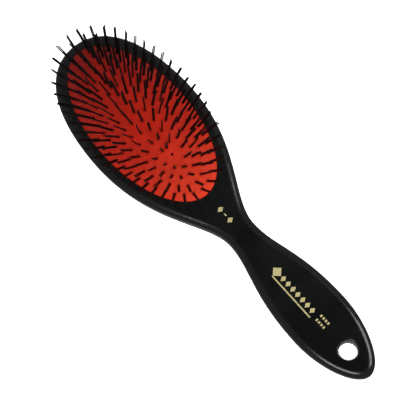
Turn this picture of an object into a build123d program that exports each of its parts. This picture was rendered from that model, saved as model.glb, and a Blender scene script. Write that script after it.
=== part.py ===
from build123d import *
from math import sqrt
import os

# Bristle brush with an air cushion, lying on its back.
# Millimetres. +X runs from the head to the end of the handle and +Z is the bristle side.
# The origin is under the middle of the overall length, on the plane that the back rests on.

# ---- overall plan ----
overall_length = 215.0
head_width = 60.0
neck_width = 15.2
grip_width = 31.1
widest_shift = 0.5             # widest part of the head past the middle of the seat
shoulder_length = 24.5         # seat's end to the narrowest part of the neck
grip_widest = 34.9             # from the end of the handle
tip_bluntness = 20.5           # how far the tip of the head runs straight across, each side
tip_flank = 29.8               # how far the widest part of the head runs straight toward the tip
shoulder_reach = 0.54          # share of the head-to-neck run that leaves the head straight
nape_reach = 0.225             # share of the head-to-neck run that enters the neck straight
throat_reach = 0.27            # share of the neck-to-grip run that leaves the neck straight
palm_reach = 0.56              # share of the neck-to-grip run that enters the grip straight
end_flank = 17.0               # how far the grip runs straight toward the end of the handle
end_bluntness = 7.8            # how far the end of the handle runs straight across, each side

# ---- side view ----
head_thickness = 13.0
grip_thickness = 12.0
front_step_lead = 5.9          # the front starts to drop this far before the narrowest part of the neck
front_step_run = 24.0          # length over which the front drops from the head to the grip
back_flat_width = 16.0         # flat band along the middle of the back
side_height = 7.5              # front down to the curved back, at the widest part of the head
front_round = 3.4
back_round = 4.4

# ---- hanging hole ----
hang_hole_diameter = 9.0
hang_hole_inset = 15.0         # hole axis to the end of the handle
hang_hole_round = 0.8

# ---- cushion seat and air chamber ----
seat_length = 96.8
tip_rim = 5.1                  # body left in front of the seat, at the tip of the head
side_rim = 5.8                 # body left beside the seat, each side
chamber_floor = 4.0            # body left under the chamber
chamber_round = 2.0
lip_height = 1.5               # rim material above the retaining groove
groove_height = 1.6
groove_reach = 1.5             # how far the groove runs in under the lip

# ---- cushion pad ----
cushion_rise = 9.6
cushion_wall = 1.2
pad_side_gap = 0.1             # between the pad and the body, all round
vent_diameter = 1.3

# ---- tufts: one filament each, folded over a wire staple under the pad ----
filament_diameter = 0.55
tuft_height = 16.6             # pad surface to the longer tip
tine_difference = 0.7          # the second tip stands this much lower
staple_diameter = 0.3
staple_length = 2.4
fold_gap = 0.02                # staple to the inside of the fold
staple_drop = 0.5              # staple axis below the inner face of the pad
tuft_hole_gap = 0.03
splay_along = 1.25             # lean of a tuft as a multiple of the pad's own slope, lengthwise
splay_across = 0.80            # the same, sideways

# ---- pattern: rings are ovals round the middle of the cushion ----
centre_row_reach = 0.423       # share of the seat's half length
centre_row_count = 8
# name: share of the seat's half width, share of its half length, number of seats
ring_plan = {
    "ring_1": (0.880, 0.930, 46),
    "ring_2": (0.719, 0.847, 42),
    "ring_3": (0.552, 0.750, 36),
    "ring_4": (0.372, 0.661, 28),
    "ring_5": (0.186, 0.502, 16),
}
vent_ring = "ring_5"           # the seat at the handle end of this ring is the vent hole

# ---- hot-stamped foil ornaments on the front ----
foil_thickness = 0.03
rule_width = 0.55
neck_mark_lead = 11.4          # middle of the mark to the narrowest part of the neck
neck_mark_length = 9.6
neck_diamond_length = 2.7
neck_diamond_width = 3.4
neck_rule_length = 1.6
grip_mark_middle = 52.0        # from the end of the handle
grip_mark_length = 28.6
grip_lead_diamond_size = 5.4   # the first diamond, nearest the head
grip_diamond_length = 2.5
grip_diamond_width = 3.4
grip_diamond_count = 7
grip_line_width = 0.7          # line under the diamonds
grip_line_offset = 3.0         # line to the middle of the diamonds, toward -Y
end_mark_middle = 32.4         # from the end of the handle
end_mark_length = 5.6
end_dash_length = 0.9
end_dash_width = 1.2
end_dash_count = 4
end_row_offset = 1.4           # each row of dashes to the middle line

# ---- derived ----
tip_x = -overall_length / 2
end_x = overall_length / 2
cushion_x = tip_x + tip_rim + seat_length / 2
widest_x = cushion_x + widest_shift
neck_x = cushion_x + seat_length / 2 + shoulder_length
grip_x = end_x - grip_widest
hang_x = end_x - hang_hole_inset
step_start_x = neck_x - front_step_lead
body_height = max(head_thickness, grip_thickness)
half_flat_width = back_flat_width / 2
back_reach = head_width / 2 - half_flat_width
back_rise = head_thickness - side_height
back_crown_radius = (back_reach**2 + back_rise**2) / (2 * back_rise)
rim_z = head_thickness
seat_width = head_width - 2 * side_rim
chamber_depth = head_thickness - chamber_floor
groove_top_z = rim_z - lip_height
groove_half_length = seat_length / 2 + groove_reach
groove_half_width = seat_width / 2 + groove_reach

pad_half_length = seat_length / 2 - pad_side_gap
pad_half_width = seat_width / 2 - pad_side_gap
dome_stretch = pad_half_length / pad_half_width
dome_radius = (pad_half_width**2 + cushion_rise**2) / (2 * cushion_rise)
dome_centre_z = rim_z + cushion_rise - dome_radius
hollow_radius = dome_radius - cushion_wall
hollow_stretch = (dome_stretch * dome_radius - cushion_wall) / hollow_radius
hollow_half_width = sqrt(hollow_radius**2 - (rim_z - dome_centre_z) ** 2)
hollow_half_length = hollow_half_width * hollow_stretch

filament_radius = filament_diameter / 2
fold_radius = filament_radius + staple_diameter / 2 + fold_gap
fold_depth = cushion_wall + staple_drop
tuft_hole_radius = fold_radius + filament_radius + tuft_hole_gap
drill_length = 4 * cushion_wall


def plan_outline():
    """Closed outline of the body: tip, widest head, neck, widest grip and end, mirrored about X."""
    half_head = head_width / 2
    half_neck = neck_width / 2
    half_grip = grip_width / 2
    neck_run = neck_x - widest_x
    grip_run = grip_x - neck_x
    with BuildSketch(Plane.XY) as outline:
        with BuildLine():
            Bezier(
                (tip_x, 0),
                (tip_x, tip_bluntness),
                (widest_x - tip_flank, half_head),
                (widest_x, half_head),
            )
            Bezier(
                (widest_x, half_head),
                (widest_x + shoulder_reach * neck_run, half_head),
                (neck_x - nape_reach * neck_run, half_neck),
                (neck_x, half_neck),
            )
            Bezier(
                (neck_x, half_neck),
                (neck_x + throat_reach * grip_run, half_neck),
                (grip_x - palm_reach * grip_run, half_grip),
                (grip_x, half_grip),
            )
            Bezier(
                (grip_x, half_grip),
                (grip_x + end_flank, half_grip),
                (end_x, end_bluntness),
                (end_x, 0),
            )
            mirror(about=Plane.XZ)
        make_face()
    return outline.sketch


def side_prism():
    """Side view through the whole width: flat head front, soft step down to the grip, straight back."""
    step_middle = step_start_x + front_step_run / 2
    step_end = step_start_x + front_step_run
    with BuildPart() as prism:
        with BuildSketch(Plane.XZ.offset(-head_width)):
            with BuildLine():
                Line((tip_x, head_thickness), (step_start_x, head_thickness))
                Bezier(
                    (step_start_x, head_thickness),
                    (step_middle, head_thickness),
                    (step_middle, grip_thickness),
                    (step_end, grip_thickness),
                )
                Line((step_end, grip_thickness), (end_x, grip_thickness))
                Line((end_x, grip_thickness), (end_x, 0))
                Line((end_x, 0), (tip_x, 0))
                Line((tip_x, 0), (tip_x, head_thickness))
            make_face()
        extrude(amount=2 * head_width)
    return prism.part


def crown_prism():
    """End view along the whole length: a flat band on the back that curves up to both sides."""
    reach_y = head_width / 2 + front_round
    rise_z = back_crown_radius - sqrt(back_crown_radius**2 - (reach_y - half_flat_width) ** 2)
    with BuildPart() as prism:
        with BuildSketch(Plane.YZ.offset(tip_x)):
            with BuildLine():
                Line((-half_flat_width, 0), (half_flat_width, 0))
                RadiusArc((half_flat_width, 0), (reach_y, rise_z), -back_crown_radius)
                Line((reach_y, rise_z), (reach_y, body_height))
                Line((reach_y, body_height), (-reach_y, body_height))
                Line((-reach_y, body_height), (-reach_y, rise_z))
                RadiusArc((-reach_y, rise_z), (-half_flat_width, 0), -back_crown_radius)
            make_face()
        extrude(amount=overall_length)
    return prism.part


def oval(half_length, half_width, top_z, depth):
    """Upright oval prism round the middle of the cushion, from top_z down."""
    with BuildPart() as prism:
        with BuildSketch(Plane((cushion_x, 0, top_z))):
            Ellipse(half_length, half_width)
        extrude(amount=-depth)
    return prism.part


def chamber_space():
    """The air chamber's own shape, open at the rim, with a rounded floor edge."""
    with BuildPart() as space:
        add(oval(seat_length / 2, seat_width / 2, rim_z, chamber_depth))
        fillet(space.edges().group_by(Axis.Z)[0], chamber_round)
    return space.part


def brush_body():
    """Head, neck and handle in one moulding, with the air chamber, pad groove and hanging hole."""
    split_z = min(head_thickness, grip_thickness) - front_round
    with BuildPart() as body:
        add(plan_outline())
        extrude(amount=body_height)
        add(side_prism(), mode=Mode.INTERSECT)
        add(crown_prism(), mode=Mode.INTERSECT)
        rims = body.edges().filter_by(GeomType.LINE, reverse=True)
        fillet(rims.filter_by(lambda edge: edge.center().Z > split_z), front_round)
        rims = body.edges().filter_by(GeomType.LINE, reverse=True)
        fillet(rims.filter_by(lambda edge: edge.bounding_box().max.Z < split_z), back_round)

        add(chamber_space(), mode=Mode.SUBTRACT)
        add(oval(groove_half_length, groove_half_width, groove_top_z, groove_height), mode=Mode.SUBTRACT)

        with Locations((hang_x, 0, grip_thickness / 2)):
            Cylinder(hang_hole_diameter / 2, grip_thickness, mode=Mode.SUBTRACT)
        hole_rims = body.edges().filter_by(GeomType.CIRCLE).filter_by(
            lambda edge: abs(edge.radius - hang_hole_diameter / 2) < filament_radius
        )
        fillet(hole_rims, hang_hole_round)
    return body.part


def dome_cap(radius, stretch):
    """Ellipsoid cap standing on the rim plane, stretched along X."""
    with BuildPart() as cap:
        with Locations((0, 0, dome_centre_z)):
            Sphere(radius)
        scale(by=(stretch, 1, 1))
        split(bisect_by=Plane.XY.offset(rim_z), keep=Keep.TOP)
    return cap.part


def dome_height(x, y):
    """Height of the pad's outer face at a point measured from the middle of the cushion."""
    return dome_centre_z + sqrt(dome_radius**2 - (x / dome_stretch) ** 2 - y**2)


def tuft_seat(x, y, spread):
    """Frame of one tuft: origin on the pad, +Z along the tuft and +X the way its two tines stand apart."""
    height = dome_height(x, y)
    lean_x = splay_along * x / dome_stretch**2
    lean_y = splay_across * y
    lean = Vector(lean_x, lean_y, height - dome_centre_z)
    return Plane(origin=(cushion_x + x, y, height), x_dir=spread, z_dir=lean)


def ring_ellipse(ring):
    """Plan of one ring, about the middle of the cushion, starting at its handle end."""
    width_share, length_share, count = ring_plan[ring]
    return Edge.make_ellipse(length_share * seat_length / 2, width_share * seat_width / 2)


def ring_seats(ring):
    """Evenly spaced seats round one ring; the vent takes the place of its ring's first seat."""
    count = ring_plan[ring][2]
    outline = ring_ellipse(ring)
    first = 1 if ring == vent_ring else 0
    seats = []
    for index in range(first, count):
        station = outline @ (index / count)
        across = (outline % (index / count)).cross(Vector(0, 0, 1))
        seats.append(tuft_seat(station.X, station.Y, across))
    return seats


def centre_row_seats():
    """Seats along the middle of the cushion, the same number toward the tip and toward the handle."""
    first = -centre_row_reach * seat_length / 2
    pitch = -2 * first / (centre_row_count - 1)
    stations = [first + index * pitch for index in range(centre_row_count)]
    return [tuft_seat(x, 0, Vector(1, 0, 0)) for x in stations]


def cushion_pad(seats):
    """Rubber dome with a skirt in the seat, a flange in the groove, tuft holes and a vent hole."""
    flange_half_length = pad_half_length + groove_reach
    flange_half_width = pad_half_width + groove_reach
    flange_top_z = groove_top_z - pad_side_gap
    flange_height = groove_height - 2 * pad_side_gap
    skirt_height = rim_z - flange_top_z + flange_height
    with BuildPart() as pad:
        with Locations((cushion_x, 0, 0)):
            add(dome_cap(dome_radius, dome_stretch))
        add(oval(pad_half_length, pad_half_width, rim_z, skirt_height))
        add(oval(flange_half_length, flange_half_width, flange_top_z, flange_height))
        with Locations((cushion_x, 0, 0)):
            add(dome_cap(hollow_radius, hollow_stretch), mode=Mode.SUBTRACT)
        add(oval(hollow_half_length, hollow_half_width, rim_z, skirt_height), mode=Mode.SUBTRACT)
        with Locations(*seats):
            Cylinder(tuft_hole_radius, drill_length, mode=Mode.SUBTRACT)
        vent = ring_ellipse(vent_ring) @ 0
        with Locations((cushion_x + vent.X, 0, dome_height(vent.X, 0))):
            Cylinder(vent_diameter / 2, drill_length, mode=Mode.SUBTRACT)
    return pad.part


def folded_tuft():
    """One filament folded into two tines, standing along Z with the fold under the origin."""
    with BuildPart() as tuft:
        with BuildLine(Plane.XZ):
            Line((fold_radius, tuft_height), (fold_radius, -fold_depth))
            CenterArc((0, -fold_depth), fold_radius, 0, -180)
            Line((-fold_radius, -fold_depth), (-fold_radius, tuft_height - tine_difference))
        with BuildSketch(Plane((fold_radius, 0, tuft_height))):
            Circle(filament_radius)
        sweep()
    return tuft.part


def wire_staple():
    """Short wire through the fold of a tuft, lying across its hole under the pad."""
    with BuildPart() as staple:
        with Locations(Plane(origin=(0, 0, -fold_depth), z_dir=(0, 1, 0))):
            Cylinder(staple_diameter / 2, staple_length)
    return staple.part


def on_seats(piece, seats):
    """The same piece set at every seat, as separate solids."""
    with BuildPart() as group:
        with Locations(*seats):
            add(piece)
    return group.part


def foil_piece(front_z, diamonds, rules):
    """Foil laid on the front at front_z. A diamond or rule is its middle x, middle y, length and width."""
    with BuildPart() as mark:
        with BuildSketch(Plane.XY.offset(front_z)):
            for x, y, length, width in diamonds:
                with Locations((x, y)):
                    Polygon((-length / 2, 0), (0, -width / 2), (length / 2, 0), (0, width / 2))
            for x, y, length, width in rules:
                with Locations((x, y)):
                    Rectangle(length, width)
        extrude(amount=foil_thickness)
    return mark.part


def foil_neck_mark():
    """Two diamonds with a short rule between them."""
    middle = neck_x - neck_mark_lead
    offset = (neck_mark_length - neck_diamond_length) / 2
    diamonds = [(middle + side * offset, 0, neck_diamond_length, neck_diamond_width) for side in (-1, 1)]
    return foil_piece(head_thickness, diamonds, [(middle, 0, neck_rule_length, rule_width)])


def foil_grip_mark():
    """A large diamond followed by a row of smaller ones, over a long line."""
    start = end_x - grip_mark_middle - grip_mark_length / 2
    row_start = start + grip_lead_diamond_size
    pitch = (grip_mark_length - grip_lead_diamond_size) / grip_diamond_count
    diamonds = [(start + grip_lead_diamond_size / 2, 0, grip_lead_diamond_size, grip_lead_diamond_size)]
    for index in range(grip_diamond_count):
        diamonds.append((row_start + (index + 0.5) * pitch, 0, grip_diamond_length, grip_diamond_width))
    line_length = grip_mark_length - grip_lead_diamond_size / 2
    line_x = start + grip_mark_length - line_length / 2
    return foil_piece(grip_thickness, diamonds, [(line_x, -grip_line_offset, line_length, grip_line_width)])


def foil_end_mark():
    """Two rows of short dashes."""
    first = end_x - end_mark_middle - (end_mark_length - end_dash_length) / 2
    pitch = (end_mark_length - end_dash_length) / (end_dash_count - 1)
    dashes = []
    for side in (-1, 1):
        for index in range(end_dash_count):
            dashes.append((first + index * pitch, side * end_row_offset, end_dash_length, end_dash_width))
    return foil_piece(grip_thickness, [], dashes)


os.makedirs("parts", exist_ok=True)

seats_by_row = {"centre_row": centre_row_seats()}
for ring_name in ring_plan:
    seats_by_row[ring_name] = ring_seats(ring_name)
all_seats = [seat for seats in seats_by_row.values() for seat in seats]

pieces = {
    "brush_body": brush_body(),
    "cushion_pad": cushion_pad(all_seats),
    "foil_neck_mark": foil_neck_mark(),
    "foil_grip_mark": foil_grip_mark(),
    "foil_end_mark": foil_end_mark(),
}
tuft_shape = folded_tuft()
staple_shape = wire_staple()
for row_name, row_seats in seats_by_row.items():
    pieces["tufts_" + row_name] = on_seats(tuft_shape, row_seats)
    pieces["staples_" + row_name] = on_seats(staple_shape, row_seats)

for piece_name, piece in pieces.items():
    piece.label = piece_name
    export_step(piece, f"parts/{piece_name}.step")
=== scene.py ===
"""Dresses the bristle brush: moulded body, rubber cushion, nylon tufts and foil ornaments, in its studio."""

import logging
import math
import random
from dataclasses import dataclass, field
from enum import Enum

import bpy
import numpy as np
from mathutils import Matrix, Quaternion, Vector
from mathutils.geometry import delaunay_2d_cdt
from mathutils.kdtree import KDTree


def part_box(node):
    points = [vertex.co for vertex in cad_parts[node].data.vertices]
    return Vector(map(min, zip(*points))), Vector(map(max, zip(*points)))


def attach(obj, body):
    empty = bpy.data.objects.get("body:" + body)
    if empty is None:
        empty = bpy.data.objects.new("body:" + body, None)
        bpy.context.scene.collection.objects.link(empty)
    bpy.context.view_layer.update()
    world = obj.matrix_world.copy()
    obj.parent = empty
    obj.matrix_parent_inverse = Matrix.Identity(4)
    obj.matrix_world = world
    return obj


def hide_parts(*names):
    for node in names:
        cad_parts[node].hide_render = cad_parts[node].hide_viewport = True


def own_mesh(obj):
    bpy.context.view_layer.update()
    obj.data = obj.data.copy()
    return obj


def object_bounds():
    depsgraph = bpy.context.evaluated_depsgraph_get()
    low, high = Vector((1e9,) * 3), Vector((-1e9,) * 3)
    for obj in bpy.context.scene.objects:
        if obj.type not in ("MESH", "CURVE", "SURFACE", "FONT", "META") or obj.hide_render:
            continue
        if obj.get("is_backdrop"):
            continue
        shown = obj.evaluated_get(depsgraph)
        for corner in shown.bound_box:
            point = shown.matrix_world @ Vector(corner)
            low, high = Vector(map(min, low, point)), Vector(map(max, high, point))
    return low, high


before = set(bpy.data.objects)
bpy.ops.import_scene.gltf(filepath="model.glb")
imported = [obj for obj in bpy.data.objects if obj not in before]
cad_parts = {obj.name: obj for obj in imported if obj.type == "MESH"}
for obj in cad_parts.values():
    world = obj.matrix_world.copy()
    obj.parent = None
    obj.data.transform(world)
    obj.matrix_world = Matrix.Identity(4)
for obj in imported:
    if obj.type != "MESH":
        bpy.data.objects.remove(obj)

LOG = logging.getLogger("bristle_brush")
MM = 0.001
UP = Vector((0.0, 0.0, 1.0))
SAME_POINT = 0.001 * MM  # vertices closer than this are one point of a solid
MIX_UNDER, MIX_OVER, MIX_RESULT = 6, 7, 2  # colour sockets of a Mix node, whose names repeat

Socket = bpy.types.NodeSocket
Colour = tuple[float, float, float]
Face = tuple[int, ...]
Spot = tuple[float, float]


class Row(Enum):
    """Rows of tufts, from the middle of the cushion to its edge."""

    CENTRE = "centre_row"
    RING_5 = "ring_5"
    RING_4 = "ring_4"
    RING_3 = "ring_3"
    RING_2 = "ring_2"
    RING_1 = "ring_1"

    @property
    def tufts(self) -> str:
        """Name of the row's tuft node."""
        return f"tufts_{self.value}"

    @property
    def staples(self) -> str:
        """Name of the row's staple node."""
        return f"staples_{self.value}"

    @property
    def body(self) -> str:
        """Name of the body that the row moves with."""
        return "centre_row_tufts" if self is Row.CENTRE else f"{self.value}_tufts"


class Axis(Enum):
    """Axes of the object, by their place in a coordinate."""

    LENGTH = "X"
    WIDTH = "Y"
    HEIGHT = "Z"


# ---------------------------------------------------------------- materials


class NodeSheet:
    """The node tree of one material, with short calls for the nodes that the finishes share."""

    def __init__(self, name: str) -> None:
        """Starts an empty tree with one Principled shader.

        Args:
            name: name of the material.
        """
        self.material = bpy.data.materials.new(name)
        self.material.use_nodes = True
        self.tree = self.material.node_tree
        self.shader = next(n for n in self.tree.nodes if n.type == "BSDF_PRINCIPLED")
        self.place = self.add("ShaderNodeTexCoord").outputs["Object"]

    def add(self, kind: str, **settings: object) -> bpy.types.Node:
        """Adds a node.

        Args:
            kind: Blender's name for the node.
            settings: properties of the node.

        Returns:
            The new node.
        """
        node = self.tree.nodes.new(kind)
        for key, value in settings.items():
            setattr(node, key, value)
        return node

    def link(self, source: Socket, target: Socket) -> None:
        """Joins two sockets."""
        self.tree.links.new(source, target)

    def fix(self, **values: object) -> None:
        """Sets sockets of the shader that are the same all over; an underscore stands for a space."""
        for key, value in values.items():
            self.shader.inputs[key.replace("_", " ")].default_value = value

    def drive(self, socket: str, source: Socket) -> None:
        """Feeds one socket of the shader."""
        self.link(source, self.shader.inputs[socket])

    def stretched(self, scale: tuple[float, float, float]) -> Socket:
        """Object coordinates stretched by a different factor along each axis.

        Args:
            scale: factor along X, Y and Z.

        Returns:
            The stretched coordinates.
        """
        mapping = self.add("ShaderNodeMapping")
        mapping.inputs["Scale"].default_value = scale
        self.link(self.place, mapping.inputs["Vector"])
        return mapping.outputs["Vector"]

    def noise(
        self, grain: float, detail: float = 3.0, rough: float = 0.5, at: Socket | None = None
    ) -> Socket:
        """Cloudy noise.

        Args:
            grain: size of its features in metres.
            detail: number of finer layers.
            rough: strength of the finer layers.
            at: coordinates, or the plain object coordinates if left out.

        Returns:
            The noise, about 0.5 on average.
        """
        node = self.add("ShaderNodeTexNoise")
        node.inputs["Scale"].default_value = 1.0 / grain
        node.inputs["Detail"].default_value = detail
        node.inputs["Roughness"].default_value = rough
        self.link(at or self.place, node.inputs["Vector"])
        return node.outputs["Fac"]

    def remap(self, source: Socket, low: float, high: float, start: float, end: float) -> Socket:
        """Maps low..high onto start..end, held at both ends.

        Args:
            source: value to map.
            low: value that becomes start.
            high: value that becomes end.
            start: result at low.
            end: result at high.

        Returns:
            The mapped value.
        """
        node = self.add("ShaderNodeMapRange", clamp=True)
        for key, value in zip(("From Min", "From Max", "To Min", "To Max"), (low, high, start, end)):
            node.inputs[key].default_value = value
        self.link(source, node.inputs["Value"])
        return node.outputs["Result"]

    def along(self, axis: Axis) -> Socket:
        """Picks one object coordinate.

        Args:
            axis: which coordinate.

        Returns:
            The coordinate in metres.
        """
        node = self.add("ShaderNodeSeparateXYZ")
        self.link(self.place, node.inputs["Vector"])
        return node.outputs[axis.value]

    def attribute(self, name: str) -> Socket:
        """A value stored on the mesh."""
        return self.add("ShaderNodeAttribute", attribute_name=name).outputs["Fac"]

    def sum(self, first: Socket, second: Socket, share: float) -> Socket:
        """Adds a share of the second value to the first.

        Args:
            first: value kept whole.
            second: value that is scaled.
            share: factor on the second value.

        Returns:
            The sum.
        """
        node = self.add("ShaderNodeMath", operation="MULTIPLY_ADD")
        self.link(second, node.inputs[0])
        node.inputs[1].default_value = share
        self.link(first, node.inputs[2])
        return node.outputs["Value"]

    def blend(self, amount: Socket, low: Colour, high: Colour) -> Socket:
        """Blends two colours.

        Args:
            amount: 0 for the low colour and 1 for the high one.
            low: linear colour at 0.
            high: linear colour at 1.

        Returns:
            The blended colour.
        """
        return self.over(amount, self.solid(low), high)

    def solid(self, colour: Colour) -> Socket:
        """Makes a plain colour for another node to cover in part.

        Args:
            colour: linear colour.

        Returns:
            The colour's socket.
        """
        node = self.add("ShaderNodeRGB")
        node.outputs["Color"].default_value = (*colour, 1.0)
        return node.outputs["Color"]

    def over(self, amount: Socket, under: Socket, colour: Colour) -> Socket:
        """Lays a colour over another by an amount.

        Args:
            amount: how much of the colour covers what is under it.
            under: colour that is covered.
            colour: linear colour on top.

        Returns:
            The mixed colour.
        """
        node = self.add("ShaderNodeMix", data_type="RGBA")
        self.link(amount, node.inputs["Factor"])
        self.link(under, node.inputs[MIX_UNDER])
        node.inputs[MIX_OVER].default_value = (*colour, 1.0)
        return node.outputs[MIX_RESULT]

    def bump(self, layers: list[tuple[Socket, float]]) -> None:
        """Raises the surface by several height layers, one on the other.

        Args:
            layers: each layer's height value and its depth in metres.
        """
        last = None
        for height, depth in layers:
            node = self.add("ShaderNodeBump")
            node.inputs["Strength"].default_value = 1.0
            node.inputs["Distance"].default_value = depth
            self.link(height, node.inputs["Height"])
            if last is not None:
                self.link(last, node.inputs["Normal"])
            last = node.outputs["Normal"]
        self.drive("Normal", last)


@dataclass(frozen=True)
class GlossPlastic:
    """Black moulded plastic with a polished skin, faint rubbing marks and a little orange peel."""

    name: str = "black_gloss_plastic"
    deep: Colour = (0.0016, 0.0017, 0.0017)
    worn: Colour = (0.0042, 0.0045, 0.0045)
    polish: float = 0.13
    dulled: float = 0.26
    cloud: float = 18 * MM
    grain: float = 1.1 * MM
    peel: float = 4.0 * MM
    peel_depth: float = 0.03 * MM
    scratch: float = 0.35 * MM
    scratch_depth: float = 0.004 * MM

    def material(self) -> bpy.types.Material:
        """Builds the material.

        Returns:
            The material.
        """
        sheet = NodeSheet(self.name)
        clouds = sheet.noise(self.cloud, 4.0, 0.55)
        fine = sheet.noise(self.grain, 3.0, 0.6)
        rubbing = sheet.noise(self.scratch, 2.0, 0.5, sheet.stretched((0.05, 1.0, 1.0)))
        marks = sheet.remap(rubbing, 0.60, 0.74, 0.0, 1.0)
        sheet.drive("Base Color", sheet.blend(sheet.sum(clouds, marks, 0.12), self.deep, self.worn))
        patches = sheet.remap(sheet.sum(clouds, fine, 0.35), 0.50, 0.95, self.polish, self.dulled)
        sheet.drive("Roughness", sheet.sum(patches, marks, 0.05))
        sheet.fix(IOR=1.49, Coat_Weight=0.35, Coat_Roughness=0.15, Coat_IOR=1.5)
        sheet.bump([(sheet.noise(self.peel, 2.0, 0.4), self.peel_depth), (rubbing, self.scratch_depth)])
        return sheet.material


@dataclass(frozen=True)
class Rubber:
    """Red cushion rubber with a dusty bloom, with painted light toward the handle and painted shade toward
    the tip, round each tuft and inside the dome.
    """

    name: str = "red_rubber"
    # shaded is a darker copy of the rubber's own red (middle), painted shade toward the head's tip; bright is
    # a lighter copy, painted light toward the neck; they blend between tip_x and neck_x
    shaded: Colour = (0.250, 0.0110, 0.0080)
    middle: Colour = (0.360, 0.0115, 0.0038)
    bright: Colour = (0.440, 0.0230, 0.0060)
    # painted shade in the dip round each tuft and over the whole inside of the dome
    pocket_painted_shade: Colour = (0.160, 0.0040, 0.0040)
    tip_x: float = -98 * MM
    neck_x: float = -8 * MM
    cloud: float = 9 * MM
    bloom: float = 3.5 * MM
    bloom_depth: float = 0.05 * MM
    grain: float = 0.45 * MM
    grain_depth: float = 0.018 * MM
    scatter: Colour = (1.2 * MM, 0.3 * MM, 0.2 * MM)

    def material(self) -> bpy.types.Material:
        """Builds the material.

        Returns:
            The material.
        """
        sheet = NodeSheet(self.name)
        clouds = sheet.noise(self.cloud, 4.0, 0.6)
        # painted light and shade along the cushion, from tip_x to neck_x, made a little irregular by the
        # clouds
        along = sheet.remap(sheet.along(Axis.LENGTH), self.tip_x, self.neck_x, 0.0, 1.0)
        painted_light_fall = sheet.sum(along, clouds, 0.10)
        painted_tip_shade = sheet.remap(painted_light_fall, 0.05, 0.62, 1.0, 0.0)
        painted_neck_light = sheet.remap(painted_light_fall, 0.66, 1.05, 0.0, 1.0)
        colour = sheet.over(painted_tip_shade, sheet.solid(self.middle), self.shaded)
        colour = sheet.over(painted_neck_light, colour, self.bright)
        # painted shade round each tuft and inside the dome
        colour = sheet.over(sheet.attribute("pocket_painted_shade"), colour, self.pocket_painted_shade)
        sheet.drive("Base Color", colour)
        fine = sheet.noise(self.grain, 3.0, 0.65)
        bloom = sheet.noise(self.bloom, 3.0, 0.5)
        sheet.drive("Roughness", sheet.remap(sheet.sum(bloom, fine, 0.4), 0.45, 0.95, 0.42, 0.62))
        sheet.fix(IOR=1.52, Specular_IOR_Level=0.10, Subsurface_Weight=0.05)
        sheet.fix(Subsurface_Radius=self.scatter, Subsurface_Scale=1.0)
        sheet.bump([(bloom, self.bloom_depth), (fine, self.grain_depth)])
        return sheet.material


@dataclass(frozen=True)
class Nylon:
    """Black nylon monofilament, each tuft a little lighter or darker, with drawn lines along it."""

    name: str = "black_nylon"
    deep: Colour = (0.0020, 0.0018, 0.0018)
    light: Colour = (0.0075, 0.0060, 0.0060)
    line: float = 0.25 * MM
    line_depth: float = 0.006 * MM

    def material(self) -> bpy.types.Material:
        """Builds the material.

        Returns:
            The material.
        """
        sheet = NodeSheet(self.name)
        drawn = sheet.noise(self.line, 2.0, 0.5, sheet.stretched((1.0, 1.0, 0.08)))
        shade = sheet.sum(sheet.attribute("shade"), drawn, 0.25)
        sheet.drive("Base Color", sheet.blend(shade, self.deep, self.light))
        sheet.drive("Roughness", sheet.remap(drawn, 0.35, 0.65, 0.42, 0.58))
        sheet.fix(IOR=1.53, Specular_IOR_Level=0.10)
        sheet.bump([(drawn, self.line_depth)])
        return sheet.material


@dataclass(frozen=True)
class SteelWire:
    """Bright drawn wire with fine lines and a light bloom."""

    name: str = "steel_wire"
    bright: Colour = (0.62, 0.61, 0.58)
    dull: Colour = (0.36, 0.35, 0.33)
    line: float = 0.10 * MM
    line_depth: float = 0.004 * MM
    bloom: float = 1.6 * MM

    def material(self) -> bpy.types.Material:
        """Builds the material.

        Returns:
            The material.
        """
        sheet = NodeSheet(self.name)
        lines = sheet.noise(self.line, 2.0, 0.5)
        bloom = sheet.noise(self.bloom, 3.0, 0.6)
        sheet.drive("Base Color", sheet.blend(sheet.remap(bloom, 0.4, 0.7, 0.0, 1.0), self.bright, self.dull))
        sheet.drive("Roughness", sheet.remap(lines, 0.3, 0.7, 0.22, 0.42))
        sheet.fix(Metallic=1.0)
        sheet.bump([(lines, self.line_depth)])
        return sheet.material


@dataclass(frozen=True)
class GoldFoil:
    """Hot-stamped gold foil with a soft grain and pinholes where the plastic shows through."""

    name: str = "gold_foil"
    gold: Colour = (0.30, 0.255, 0.110)
    pale: Colour = (0.38, 0.33, 0.165)
    bare: Colour = (0.05, 0.045, 0.03)
    grain: float = 0.5 * MM
    grain_depth: float = 0.01 * MM
    pinhole: float = 0.22 * MM

    def material(self) -> bpy.types.Material:
        """Builds the material.

        Returns:
            The material.
        """
        sheet = NodeSheet(self.name)
        grain = sheet.noise(self.grain, 3.0, 0.6)
        pinholes = sheet.remap(sheet.noise(self.pinhole, 2.0, 0.5), 0.66, 0.72, 0.0, 0.8)
        colour = sheet.blend(sheet.remap(grain, 0.35, 0.65, 0.0, 1.0), self.gold, self.pale)
        sheet.drive("Base Color", sheet.over(pinholes, colour, self.bare))
        sheet.drive("Roughness", sheet.remap(grain, 0.3, 0.7, 0.38, 0.58))
        sheet.fix(Metallic=0.2, IOR=1.5)
        sheet.bump([(grain, self.grain_depth)])
        return sheet.material


@dataclass(frozen=True)
class FloorPaint:
    """Plain white studio floor with a barely visible mottle."""

    name: str = "white_floor"
    white: Colour = (0.90, 0.90, 0.90)
    soft: Colour = (0.86, 0.86, 0.86)
    glow: float = 0.93
    mottle: float = 250 * MM
    grain: float = 30 * MM

    def material(self) -> bpy.types.Material:
        """Builds the material.

        Returns:
            The material.
        """
        sheet = NodeSheet(self.name)
        sheet.drive("Base Color", sheet.blend(sheet.noise(self.mottle, 3.0, 0.5), self.white, self.soft))
        sheet.drive("Roughness", sheet.remap(sheet.noise(self.grain, 2.0, 0.5), 0.3, 0.7, 0.85, 0.95))
        sheet.fix(Emission_Color=(1.0, 1.0, 1.0, 1.0), Emission_Strength=self.glow, Specular_IOR_Level=0.2)
        return sheet.material


# ---------------------------------------------------------------- mesh work


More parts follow.
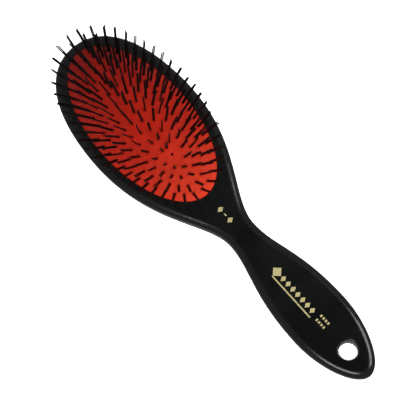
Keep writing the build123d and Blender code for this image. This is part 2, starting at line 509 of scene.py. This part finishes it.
def add_piece(
    name: str, points: list[Vector] | np.ndarray, faces: list[Face], finish: bpy.types.Material
) -> bpy.types.Object:
    """Makes a smooth-shaded mesh object.

    Args:
        name: name of the piece.
        points: vertices in metres, in the object's own frame.
        faces: corners of each face.
        finish: material of the whole piece.

    Returns:
        The new object, linked to the scene.
    """
    mesh = bpy.data.meshes.new(name)
    mesh.from_pydata([tuple(p) for p in points], [], faces)
    mesh.validate()
    mesh.polygons.foreach_set("use_smooth", [True] * len(mesh.polygons))
    mesh.materials.append(finish)
    piece = bpy.data.objects.new(name, mesh)
    bpy.context.scene.collection.objects.link(piece)
    return piece


def store(piece: bpy.types.Object, name: str, values: list[float]) -> None:
    """Keeps one value per vertex on the mesh for a material to read."""
    piece.data.attributes.new(name, "FLOAT", "POINT").data.foreach_set("value", values)


def dress(node: str, finish: bpy.types.Material) -> None:
    """Gives a carried-over CAD node its finish.

    Args:
        node: name of the node.
        finish: material of the whole node.
    """
    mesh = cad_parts[node].data
    mesh.materials.clear()
    mesh.materials.append(finish)


def solids_of(node: str) -> list[np.ndarray]:
    """Splits a node into its separate solids.

    Args:
        node: name of a CAD node that holds several solids.

    Returns:
        The vertices of each solid, in metres.
    """
    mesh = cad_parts[node].data
    points = np.empty(len(mesh.vertices) * 3)
    mesh.vertices.foreach_get("co", points)
    points = points.reshape(-1, 3)
    ends = np.empty(len(mesh.edges) * 2, np.int64)
    mesh.edges.foreach_get("vertices", ends)
    _, same = np.unique(np.round(points / SAME_POINT).astype(np.int64), axis=0, return_inverse=True)
    same = same.reshape(-1)
    ends = same[ends].reshape(-1, 2)
    label = np.arange(same.max() + 1)
    while True:
        low = np.minimum(label[ends[:, 0]], label[ends[:, 1]])
        after = label.copy()
        np.minimum.at(after, ends[:, 0], low)
        np.minimum.at(after, ends[:, 1], low)
        after = after[after]
        if np.array_equal(after, label):
            break
        label = after
    owner = label[same]
    return [points[owner == name] for name in np.unique(owner)]


@dataclass(frozen=True)
class TuftSeat:
    """Where one tuft stands: its root on the pad, the way it points and the way its tines stand apart."""

    root: Vector
    axis: Vector
    spread: Vector
    height: float


@dataclass
class TuftRow:
    """One row of tufts, each a single filament folded over its staple, with two free tines.

    squeeze is half the distance between the middles of the tines. The folded part under the rubber is thinner
    than the tines, so that it clears its staple.
    """

    row: Row
    finish: bpy.types.Material
    filament: float = 0.68 * MM
    folded: float = 0.55 * MM
    fold_gap: float = 0.445 * MM
    fold_depth: float = 1.7 * MM
    fold_steps: int = 6
    tine_difference: float = 0.7 * MM
    longer_trim: tuple[float, float] = (0.0, 0.25 * MM)
    shorter_trim: tuple[float, float] = (-0.2 * MM, 0.3 * MM)
    squeeze: float = 0.33 * MM
    flare: tuple[float, float] = (0.0, 0.05 * MM)
    drift: float = 0.44 * MM
    own_drift: float = 0.10
    twist: tuple[float, float] = (60.0, 90.0)
    shade: tuple[float, float] = (0.0, 0.7)
    tip_band: float = 0.1 * MM
    bottom_band: float = 0.02 * MM
    rounding: tuple[tuple[float, float], ...] = ((0.0, 1.0), (0.55, 0.83), (0.88, 0.47))
    sides: int = 10
    stations: int = 9
    seats: list[TuftSeat] = field(default_factory=list)

    def find_seats(self) -> None:
        """Reads each tuft's place, lean and spread from its own solid."""
        for solid in sorted(solids_of(self.row.tufts), key=lambda p: math.atan2(*p.mean(axis=0)[[1, 0]])):
            self.seats.append(self.seat_of(solid))

    def seat_of(self, solid: np.ndarray) -> TuftSeat:
        """Finds how one folded filament stands.

        Args:
            solid: vertices of the filament.

        Returns:
            Its seat.
        """
        centre = solid.mean(axis=0)
        _, _, ways = np.linalg.svd(solid - centre, full_matrices=False)
        axis = ways[0] * math.copysign(1.0, ways[0][2])
        along = (solid - centre) @ axis
        across = (solid - centre) @ ways[1]
        across -= (across.max() + across.min()) / 2
        tips = []
        for side in (across > 0, across < 0):
            reach = along[side].max()
            tips.append(solid[side][along[side] > reach - self.tip_band].mean(axis=0))
        bottom = solid[along < along.min() + self.bottom_band].mean(axis=0)
        middle = (tips[0] + tips[1]) / 2
        axis = (middle - bottom) / np.linalg.norm(middle - bottom)
        spread = tips[0] - tips[1]
        longer = math.copysign(1.0, spread @ axis)
        spread = (spread - (spread @ axis) * axis) * longer
        spread /= np.linalg.norm(spread)
        rise = self.fold_gap + self.folded / 2 + self.fold_depth
        root = bottom + axis * rise
        height = ((solid - root) @ axis).max()
        return TuftSeat(Vector(root), Vector(axis), Vector(spread), float(height))

    def path(self, seat: TuftSeat, rng: random.Random) -> list[Vector]:
        """Centre line of one filament, from the longer tip down round the fold and up to the other tip.

        Args:
            seat: where the tuft stands.
            rng: source of its small irregularities.

        Returns:
            Points along the line.
        """
        sway = [rng.gauss(0.0, self.drift) for _ in range(4)]
        twist = math.radians(rng.uniform(*self.twist)) * rng.choice((-1.0, 1.0))
        spread = seat.spread.copy()
        spread.rotate(Quaternion(seat.axis, twist))
        across = seat.axis.cross(spread)
        longer = seat.height - rng.uniform(*self.longer_trim)
        shorter = seat.height - self.tine_difference - rng.uniform(*self.shorter_trim)
        flare = rng.uniform(*self.flare)
        lines = []
        for side, height in ((1.0, longer), (-1.0, shorter)):
            lean = side * self.own_drift
            own = sway[0] + lean * sway[2], sway[1] + lean * sway[3]
            line = []
            for step in range(self.stations + 1):
                share = step / self.stations
                stand = self.squeeze + flare * share
                offset = spread * (side * stand + own[0] * share**2) + across * (own[1] * share**2)
                line.append(seat.root + seat.axis * (height * share) + offset)
            lines.append(line)
        fold = []
        for step in range(self.fold_steps + 1):
            angle = math.pi * step / self.fold_steps
            place = seat.axis * (-self.fold_depth - self.fold_gap * math.sin(angle))
            fold.append(seat.root + place + seat.spread * (self.fold_gap * math.cos(angle)))
        return lines[0][::-1] + fold + lines[1]

    def tube(self, line: list[Vector], across: Vector) -> tuple[list[Vector], list[Face]]:
        """Round filament along a line, with both ends rounded off.

        Args:
            line: centre line.
            across: direction square to the plane that the line lies in.

        Returns:
            The filament's vertices and faces.
        """
        radius = self.filament / 2
        rings = []
        for index, point in enumerate(line):
            way = (line[min(index + 1, len(line) - 1)] - line[max(index - 1, 0)]).normalized()
            buried = self.stations < index < len(line) - self.stations - 1
            rings.append((point, way, self.folded / 2 if buried else radius))
        (first, start_way, _), (last, end_way, _) = rings[0], rings[-1]
        reach = self.rounding[-1][0]
        head, tail = [], []
        for out, thin in self.rounding:
            head.insert(0, (first - start_way * radius * (out - reach), start_way, radius * thin))
            tail.append((last + end_way * radius * (out - reach), end_way, radius * thin))
        rings = head + rings[1:-1] + tail
        points: list[Vector] = []
        faces: list[Face] = []
        for point, way, thick in rings:
            side = across.cross(way).normalized()
            square = way.cross(side)
            for corner in range(self.sides):
                angle = 2 * math.pi * corner / self.sides
                points.append(point + (side * math.cos(angle) + square * math.sin(angle)) * thick)
        for ring in range(len(rings) - 1):
            for corner in range(self.sides):
                a = ring * self.sides + corner
                b = ring * self.sides + (corner + 1) % self.sides
                faces.append((a, b, b + self.sides, a + self.sides))
        points.append(first - start_way * radius * (1.0 - reach))
        points.append(last + end_way * radius * (1.0 - reach))
        start = (len(rings) - 1) * self.sides
        for corner in range(self.sides):
            after = (corner + 1) % self.sides
            faces.append((len(points) - 2, after, corner))
            faces.append((len(points) - 1, start + corner, start + after))
        return points, faces

    def build(self) -> bpy.types.Object:
        """Builds the row as one piece on its own body.

        Returns:
            The piece.
        """
        rng = random.Random(f"tufts {self.row.value}")
        points: list[Vector] = []
        faces: list[Face] = []
        shades: list[float] = []
        for seat in self.seats:
            own, loops = self.tube(self.path(seat, rng), seat.axis.cross(seat.spread))
            faces += [tuple(corner + len(points) for corner in loop) for loop in loops]
            points += own
            shades += [rng.uniform(*self.shade)] * len(own)
        piece = add_piece(f"nylon_{self.row.value}", points, faces, self.finish)
        store(piece, "shade", shades)
        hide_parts(self.row.tufts)
        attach(piece, self.row.body)
        return piece


@dataclass
class RubberCushion:
    """Air cushion: a thin rubber dome drawn down to a skirt whose flange sits in the body's groove."""

    finish: bpy.types.Material
    seats: list[TuftSeat]
    rim: float = 13.0 * MM
    flange_reach: float = 1.5 * MM
    flange_top: float = 11.4 * MM
    wall: float = 1.2 * MM
    skirt_round: float = 0.15 * MM
    pocket_reach: float = 0.72 * MM
    pocket_depth: float = 0.30 * MM
    pocket_shade: float = 0.75
    lip_reach: float = 1.35 * MM
    lip_width: float = 0.45 * MM
    lip_height: float = 0.05 * MM
    vent_offset: float = 24.297 * MM
    vent_radius: float = 0.65 * MM
    press_keep: float = 0.497
    rim_steps: int = 260
    rim_insets: tuple[float, ...] = (0.3 * MM, 0.8 * MM)
    vent_steps: int = 20
    vent_open: float = 0.98
    vent_rings: tuple[tuple[float, int], ...] = ((0.2 * MM, 20), (0.6 * MM, 16))
    tuft_reaches: tuple[float, ...] = (0.35 * MM, 0.65 * MM, 0.95 * MM, 1.3 * MM, 1.7 * MM)
    tuft_ring_margins: tuple[float, float] = (1.1 * MM, 0.5 * MM)
    lattice: float = 0.95 * MM
    lattice_margins: tuple[float, float, float] = (1.2 * MM, 0.9 * MM, 2.0 * MM)
    merge: float = 1e-6

    def __post_init__(self) -> None:
        """Takes the dome's measures from the cushion's own solid."""
        low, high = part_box("cushion_pad")
        self.middle = (low[0] + high[0]) / 2
        self.half_length = (high[0] - low[0]) / 2 - self.flange_reach
        self.half_width = (high[1] - low[1]) / 2 - self.flange_reach
        self.bottom = low[2]
        rise = high[2] - self.rim
        self.radius = (self.half_width**2 + rise**2) / (2 * rise)
        self.stretch = self.half_length / self.half_width
        self.centre = high[2] - self.radius
        self.tree = KDTree(len(self.seats))
        for index, seat in enumerate(self.seats):
            self.tree.insert(seat.root, index)
        self.tree.balance()

    def skin(self, x: float, y: float) -> tuple[Vector, Vector]:
        """Finds the smooth dome over a spot of the plan.

        Args:
            x: along the cushion, measured from its middle.
            y: across the cushion.

        Returns:
            Point of the dome and the outward direction there.
        """
        height = math.sqrt(max(self.radius**2 - (x / self.stretch) ** 2 - y**2, 0.0))
        point = Vector((self.middle + x, y, max(self.centre + height, self.rim)))
        return point, Vector((x / self.stretch**2, y, height)).normalized()

    def rim_loop(self, inset: float) -> list[Spot]:
        """Oval round the middle of the cushion, moved in from the dome's edge.

        Args:
            inset: distance from the dome's edge.

        Returns:
            Points of the oval, measured from the middle.
        """
        turns = [2 * math.pi * step / self.rim_steps for step in range(self.rim_steps)]
        return [
            ((self.half_length - inset) * math.cos(t), (self.half_width - inset) * math.sin(t)) for t in turns
        ]

    def ring(self, x: float, y: float, radius: float, count: int, turn: float = 0.0) -> list[Spot]:
        """Small circle of points on the plan.

        Args:
            x: middle, measured from the middle of the cushion.
            y: middle, across.
            radius: of the circle.
            count: number of points.
            turn: angle of the first point.

        Returns:
            Points of the circle.
        """
        angles = [turn + 2 * math.pi * step / count for step in range(count)]
        return [(x + radius * math.cos(a), y + radius * math.sin(a)) for a in angles]

    def rim_and_vent(self) -> tuple[list[Spot], list[Spot]]:
        """The two closed outlines of the dome's plan, the rim first."""
        return self.rim_loop(0.0), self.ring(self.vent_offset, 0.0, self.vent_radius, self.vent_steps)

    def rings(self) -> list[Spot]:
        """Spots along the rim, round the vent and, closer together, round each tuft.

        Returns:
            The spots, measured from the middle.
        """
        spots = [spot for inset in self.rim_insets for spot in self.rim_loop(inset)]
        for reach, count in self.vent_rings:
            spots += self.ring(self.vent_offset, 0.0, self.vent_radius + reach, count)
        rim_margin, vent_margin = self.tuft_ring_margins
        for seat in self.seats:
            x, y = seat.root.x - self.middle, seat.root.y
            spots.append((x, y))
            for step, reach in enumerate(self.tuft_reaches):
                ring = self.ring(x, y, reach, 8 + 2 * step, 0.3 * step)
                spots += [s for s in ring if self.inside(*s, rim_margin) and self.clear(*s, vent_margin)]
        return spots

    def fill(self) -> list[Spot]:
        """Spots of an even lattice over the rest of the plan.

        Returns:
            The spots, measured from the middle.
        """
        rim_margin, vent_margin, tuft_margin = self.lattice_margins
        spots = []
        for row in range(int(2 * self.half_width / self.lattice) + 1):
            y = -self.half_width + row * self.lattice
            shift = 0.5 * self.lattice * (row % 2)
            for column in range(int(2 * self.half_length / self.lattice) + 1):
                x = -self.half_length + column * self.lattice + shift
                on_dome = self.inside(x, y, rim_margin) and self.clear(x, y, vent_margin)
                if on_dome and self.away(x, y, tuft_margin):
                    spots.append((x, y))
        return spots

    def plan(self) -> tuple[list[Spot], list[Face], int, int]:
        """Triangulates the dome's plan, with the vent left open.

        Returns:
            Plan points, faces, number of rim points and number of vent points, in the order of rim_and_vent.
        """
        rim, vent = self.rim_and_vent()
        spots = rim + vent + self.rings() + self.fill()
        loops = [list(range(len(rim))), list(range(len(rim), len(rim) + len(vent)))]
        edges = [(loop[i], loop[(i + 1) % len(loop)]) for loop in loops for i in range(len(loop))]
        scale = 1.0 / MM
        flat = [Vector((x * scale, y * scale)) for x, y in spots]
        points, _, faces, _, _, _ = delaunay_2d_cdt(flat, edges, [], 0, self.merge)
        kept = []
        for face in faces:
            x = sum(points[c].x for c in face) * MM / 3
            y = sum(points[c].y for c in face) * MM / 3
            over_vent = math.hypot(x - self.vent_offset, y) <= self.vent_radius * self.vent_open
            if self.inside(x, y, 0.0) and not over_vent:
                kept.append(tuple(face))
        return [(p.x * MM, p.y * MM) for p in points], kept, len(rim), len(vent)

    def inside(self, x: float, y: float, margin: float) -> bool:
        """Whether a plan spot is inside the dome's edge by a margin."""
        return (x / (self.half_length - margin)) ** 2 + (y / (self.half_width - margin)) ** 2 < 1.0

    def clear(self, x: float, y: float, margin: float) -> bool:
        """Whether a plan spot keeps a margin from the vent."""
        return math.hypot(x - self.vent_offset, y) > self.vent_radius + margin

    def away(self, x: float, y: float, margin: float) -> bool:
        """Whether a plan spot keeps a margin from every tuft."""
        point, _ = self.skin(x, y)
        return self.tree.find(point)[2] > margin

    def pocket_painted_shade(self, point: Vector) -> tuple[float, float]:
        """Finds how the nearest tuft draws the rubber in at a point, and the painted shade in that dip.

        Args:
            point: point of the smooth dome.

        Returns:
            Height change of the skin, and how much painted shade the dip gets, from 0 to 1.
        """
        _, _, reach = self.tree.find(point)
        dip = math.exp(-((reach / self.pocket_reach) ** 2))
        lip = math.exp(-(((reach - self.lip_reach) / self.lip_width) ** 2))
        return self.lip_height * lip - self.pocket_depth * dip, self.pocket_shade * dip

    def build(self) -> list[bpy.types.Object]:
        """Builds the dome and the skirt, which stays in the groove; both ride on the brush's body.

        Returns:
            The two pieces.
        """
        plan, faces, rim_count, vent_count = self.plan()
        outer, inner, depth = [], [], []
        for index, (x, y) in enumerate(plan):
            point, way = self.skin(x, y)
            # drop dips the skin round a tuft; the second value is the painted shade there, which depth keeps
            # per vertex
            drop, pocket_painted_shade = (0.0, 0.0) if index < rim_count + vent_count else self.pocket_painted_shade(point)
            outer.append(point + way * drop)
            inner.append(self.under(x, y) if index < rim_count else point - way * self.wall)
            depth.append(pocket_painted_shade)
        points = outer + inner
        count = len(plan)
        shell = [face if self.faces_up(plan, face) else face[::-1] for face in faces]
        shell += [tuple(corner + count for corner in reversed(face)) for face in shell]
        for start, size, way in ((0, rim_count, 1), (rim_count, vent_count, -1)):
            for step in range(size):
                a, b = start + step, start + (step + 1) % size
                shell.append((a, b, b + count, a + count)[::-way])
        dome = add_piece("rubber_dome", points, shell, self.finish)
        # painted shade per vertex: each dip round a tuft by its amount, the whole inside of the dome in full
        store(dome, "pocket_painted_shade", depth + [1.0] * count)
        self.declare(dome)
        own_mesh(dome)
        skirt = self.build_skirt()
        self.declare(skirt)
        return [dome, skirt]

    def under(self, x: float, y: float) -> Vector:
        """Finds the inner edge of the dome on the rim plane, one wall in from its outer edge.

        Args:
            x: of the outer edge, measured from the middle.
            y: of the outer edge.

        Returns:
            Point of the inner edge.
        """
        length = (self.half_length - self.wall) / self.half_length
        width = (self.half_width - self.wall) / self.half_width
        return Vector((self.middle + x * length, y * width, self.rim))

    def faces_up(self, plan: list[Spot], face: Face) -> bool:
        """Whether a plan face turns counterclockwise."""
        (ax, ay), (bx, by), (cx, cy) = (plan[corner] for corner in face[:3])
        return (bx - ax) * (cy - ay) - (by - ay) * (cx - ax) > 0

    def build_skirt(self) -> bpy.types.Object:
        """Builds the skirt and its flange, a closed ring under the dome's edge.

        Returns:
            The skirt.
        """
        reach, bevel = self.flange_reach, self.skirt_round
        profile = (
            (0.0, self.rim),
            (0.0, self.flange_top + bevel),
            (-bevel, self.flange_top),
            (bevel - reach, self.flange_top),
            (-reach, self.flange_top - bevel),
            (-reach, self.bottom + bevel),
            (bevel - reach, self.bottom),
            (self.wall, self.bottom),
            (self.wall, self.rim),
        )
        points, faces = [], []
        for inset, height in profile:
            points += [Vector((self.middle + x, y, height)) for x, y in self.rim_loop(inset)]
        for band in range(len(profile)):
            for step in range(self.rim_steps):
                after = (step + 1) % self.rim_steps
                low, high = band * self.rim_steps, (band + 1) % len(profile) * self.rim_steps
                faces.append((low + step, high + step, high + after, low + after))
        skirt = add_piece("rubber_skirt", points, faces, self.finish)
        # no painted shade on the skirt
        store(skirt, "pocket_painted_shade", [0.0] * len(points))
        return skirt

    def declare(self, piece: bpy.types.Object) -> None:
        """Hides the cushion's CAD node, which the piece stands in for, and sets the piece on the brush's
        body.

        Args:
            piece: the dome or the skirt.
        """
        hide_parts("cushion_pad")
        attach(piece, "brush")


@dataclass
class MouldedBody:
    """Head, neck and handle with their hot-stamped ornaments."""

    plastic: bpy.types.Material
    foil: bpy.types.Material
    marks: tuple[str, ...] = ("foil_neck_mark", "foil_grip_mark", "foil_end_mark")

    def build(self) -> list[str]:
        """Dresses the carried-over body and ornaments.

        Returns:
            Their names.
        """
        dress("brush_body", self.plastic)
        for mark in self.marks:
            dress(mark, self.foil)
        return ["brush_body", *self.marks]


@dataclass
class Staples:
    """Wire staples that hold the folded tufts under the pad."""

    wire: bpy.types.Material

    def build(self) -> list[str]:
        """Dresses every row's staples.

        Returns:
            Their names.
        """
        for row in Row:
            dress(row.staples, self.wire)
        return [row.staples for row in Row]


# ---------------------------------------------------------------- studio


@dataclass(frozen=True)
class Softbox:
    """Soft area light aimed at the object. Only a mirrored one shows in glossy surfaces."""

    name: str
    bearing: float
    elevation: float
    width: float
    height: float
    power: float
    mirrored: bool = False
    distance: float = 0.9

    def build(self, aim: Vector) -> None:
        """Hangs the light.

        Args:
            aim: point that it faces.
        """
        light = bpy.data.lights.new(self.name, "AREA")
        light.shape = "RECTANGLE"
        light.size, light.size_y = self.width, self.height
        light.energy = self.power
        lamp = bpy.data.objects.new(self.name, light)
        lamp.visible_glossy = self.mirrored
        bpy.context.scene.collection.objects.link(lamp)
        flat = math.cos(math.radians(self.elevation))
        away = Vector(
            (
                flat * math.cos(math.radians(self.bearing)),
                flat * math.sin(math.radians(self.bearing)),
                math.sin(math.radians(self.elevation)),
            )
        )
        lamp.location = aim + away * self.distance
        lamp.rotation_euler = (-away).to_track_quat("-Z", "Y").to_euler()


@dataclass
class Studio:
    """White floor, soft lights and the camera."""

    paint: bpy.types.Material
    aim: Vector = field(default_factory=lambda: Vector((-7.334, -3.636, 7.0)) * MM)
    distance: float = 600 * MM
    bearing: float = -19.8818
    elevation: float = 75.573
    roll: float = -21.7904
    lens: float = 113.157
    sensor: float = 36.0
    floor_half: float = 1.6
    floor_cells: int = 24
    floor_gap: float = 0.05 * MM
    curl_start: float = 0.7
    curl: float = 0.6
    horizon: float = 0.17
    zenith: float = 0.01
    sky_fade: tuple[float, float] = (0.93, 0.985)
    lights: tuple[Softbox, ...] = (
        Softbox("key", -5.0, 58.0, 0.8, 0.8, 10.2),
        Softbox("left_fill", -110.0, 42.0, 0.8, 0.5, 2.0),
        Softbox("right_fill", 100.0, 42.0, 0.8, 0.5, 1.4),
        Softbox("left_glint", -55.0, 46.0, 0.42, 0.42, 2.2, mirrored=True),
        Softbox("right_glint", 60.0, 44.0, 0.50, 0.50, 3.2, mirrored=True),
    )

    def build(self) -> None:
        """Builds the floor, sky, lights and camera."""
        self.build_floor()
        self.build_sky()
        for light in self.lights:
            light.build(self.aim)
        self.build_camera()
        bpy.context.scene.view_settings.view_transform = "Standard"

    def build_floor(self) -> None:
        """Lays a floor whose edges curl up a little into a shallow tray."""
        steps = self.floor_cells
        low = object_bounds()[0][2] - self.floor_gap
        points, faces = [], []
        for row in range(steps + 1):
            for column in range(steps + 1):
                x = self.floor_half * (2 * column / steps - 1)
                y = self.floor_half * (2 * row / steps - 1)
                far = max(0.0, math.hypot(x, y) / self.floor_half - self.curl_start)
                points.append(Vector((x, y, low + self.curl * far**2)))
        for row in range(steps):
            for column in range(steps):
                a = row * (steps + 1) + column
                faces.append((a, a + 1, a + steps + 2, a + steps + 1))
        floor = add_piece("studio_floor", points, faces, self.paint)
        floor.visible_glossy = False
        floor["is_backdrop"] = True

    def build_sky(self) -> None:
        """Dim surround, lighter at the horizon than overhead."""
        world = bpy.data.worlds.new("studio_surround")
        bpy.context.scene.world = world
        world.use_nodes = True
        tree = world.node_tree
        backdrop = next(n for n in tree.nodes if n.type == "BACKGROUND")
        place = tree.nodes.new("ShaderNodeTexCoord")
        parts = tree.nodes.new("ShaderNodeSeparateXYZ")
        tree.links.new(place.outputs["Generated"], parts.inputs["Vector"])
        fade = tree.nodes.new("ShaderNodeMapRange")
        limits = (*self.sky_fade, self.horizon, self.zenith)
        for key, value in zip(("From Min", "From Max", "To Min", "To Max"), limits):
            fade.inputs[key].default_value = value
        tree.links.new(parts.outputs["Z"], fade.inputs["Value"])
        tree.links.new(fade.outputs["Result"], backdrop.inputs["Strength"])
        backdrop.inputs["Color"].default_value = (1.0, 1.0, 1.0, 1.0)

    def build_camera(self) -> None:
        """Puts the camera over the object, turned so that the head is at the upper left."""
        data = bpy.data.cameras.new("studio_camera")
        data.sensor_width = self.sensor
        data.lens = self.lens
        data.clip_start = 0.01
        camera = bpy.data.objects.new("studio_camera", data)
        bpy.context.scene.collection.objects.link(camera)
        tilt, turn = math.radians(self.elevation), math.radians(self.bearing)
        away = Vector((math.cos(tilt) * math.cos(turn), math.cos(tilt) * math.sin(turn), math.sin(tilt)))
        side = (-away).cross(UP).normalized()
        above = side.cross(-away)
        roll = math.radians(self.roll)
        right = side * math.cos(roll) + above * math.sin(roll)
        top = away.cross(right)
        pose = Matrix((right, top, away)).transposed().to_4x4()
        pose.translation = self.aim + away * self.distance
        camera.matrix_world = pose
        bpy.context.scene.camera = camera


def main() -> None:
    """Builds the brush piece by piece, then the studio, and reports each one."""
    logging.basicConfig(level=logging.INFO, format="%(message)s")
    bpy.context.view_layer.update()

    for name in MouldedBody(GlossPlastic().material(), GoldFoil().material()).build():
        LOG.info("dressed %s", name)
    for name in Staples(SteelWire().material()).build():
        LOG.info("dressed %s", name)

    nylon = Nylon().material()
    seats: list[TuftSeat] = []
    for row in Row:
        tufts = TuftRow(row, nylon)
        tufts.find_seats()
        piece = tufts.build()
        seats += tufts.seats
        LOG.info("built %s: %d tufts, %d vertices", piece.name, len(tufts.seats), len(piece.data.vertices))

    for piece in RubberCushion(Rubber().material(), seats).build():
        LOG.info("built %s: %d vertices", piece.name, len(piece.data.vertices))

    Studio(FloorPaint().material()).build()
    LOG.info("built the studio")


if __name__ == "__main__":
    main()
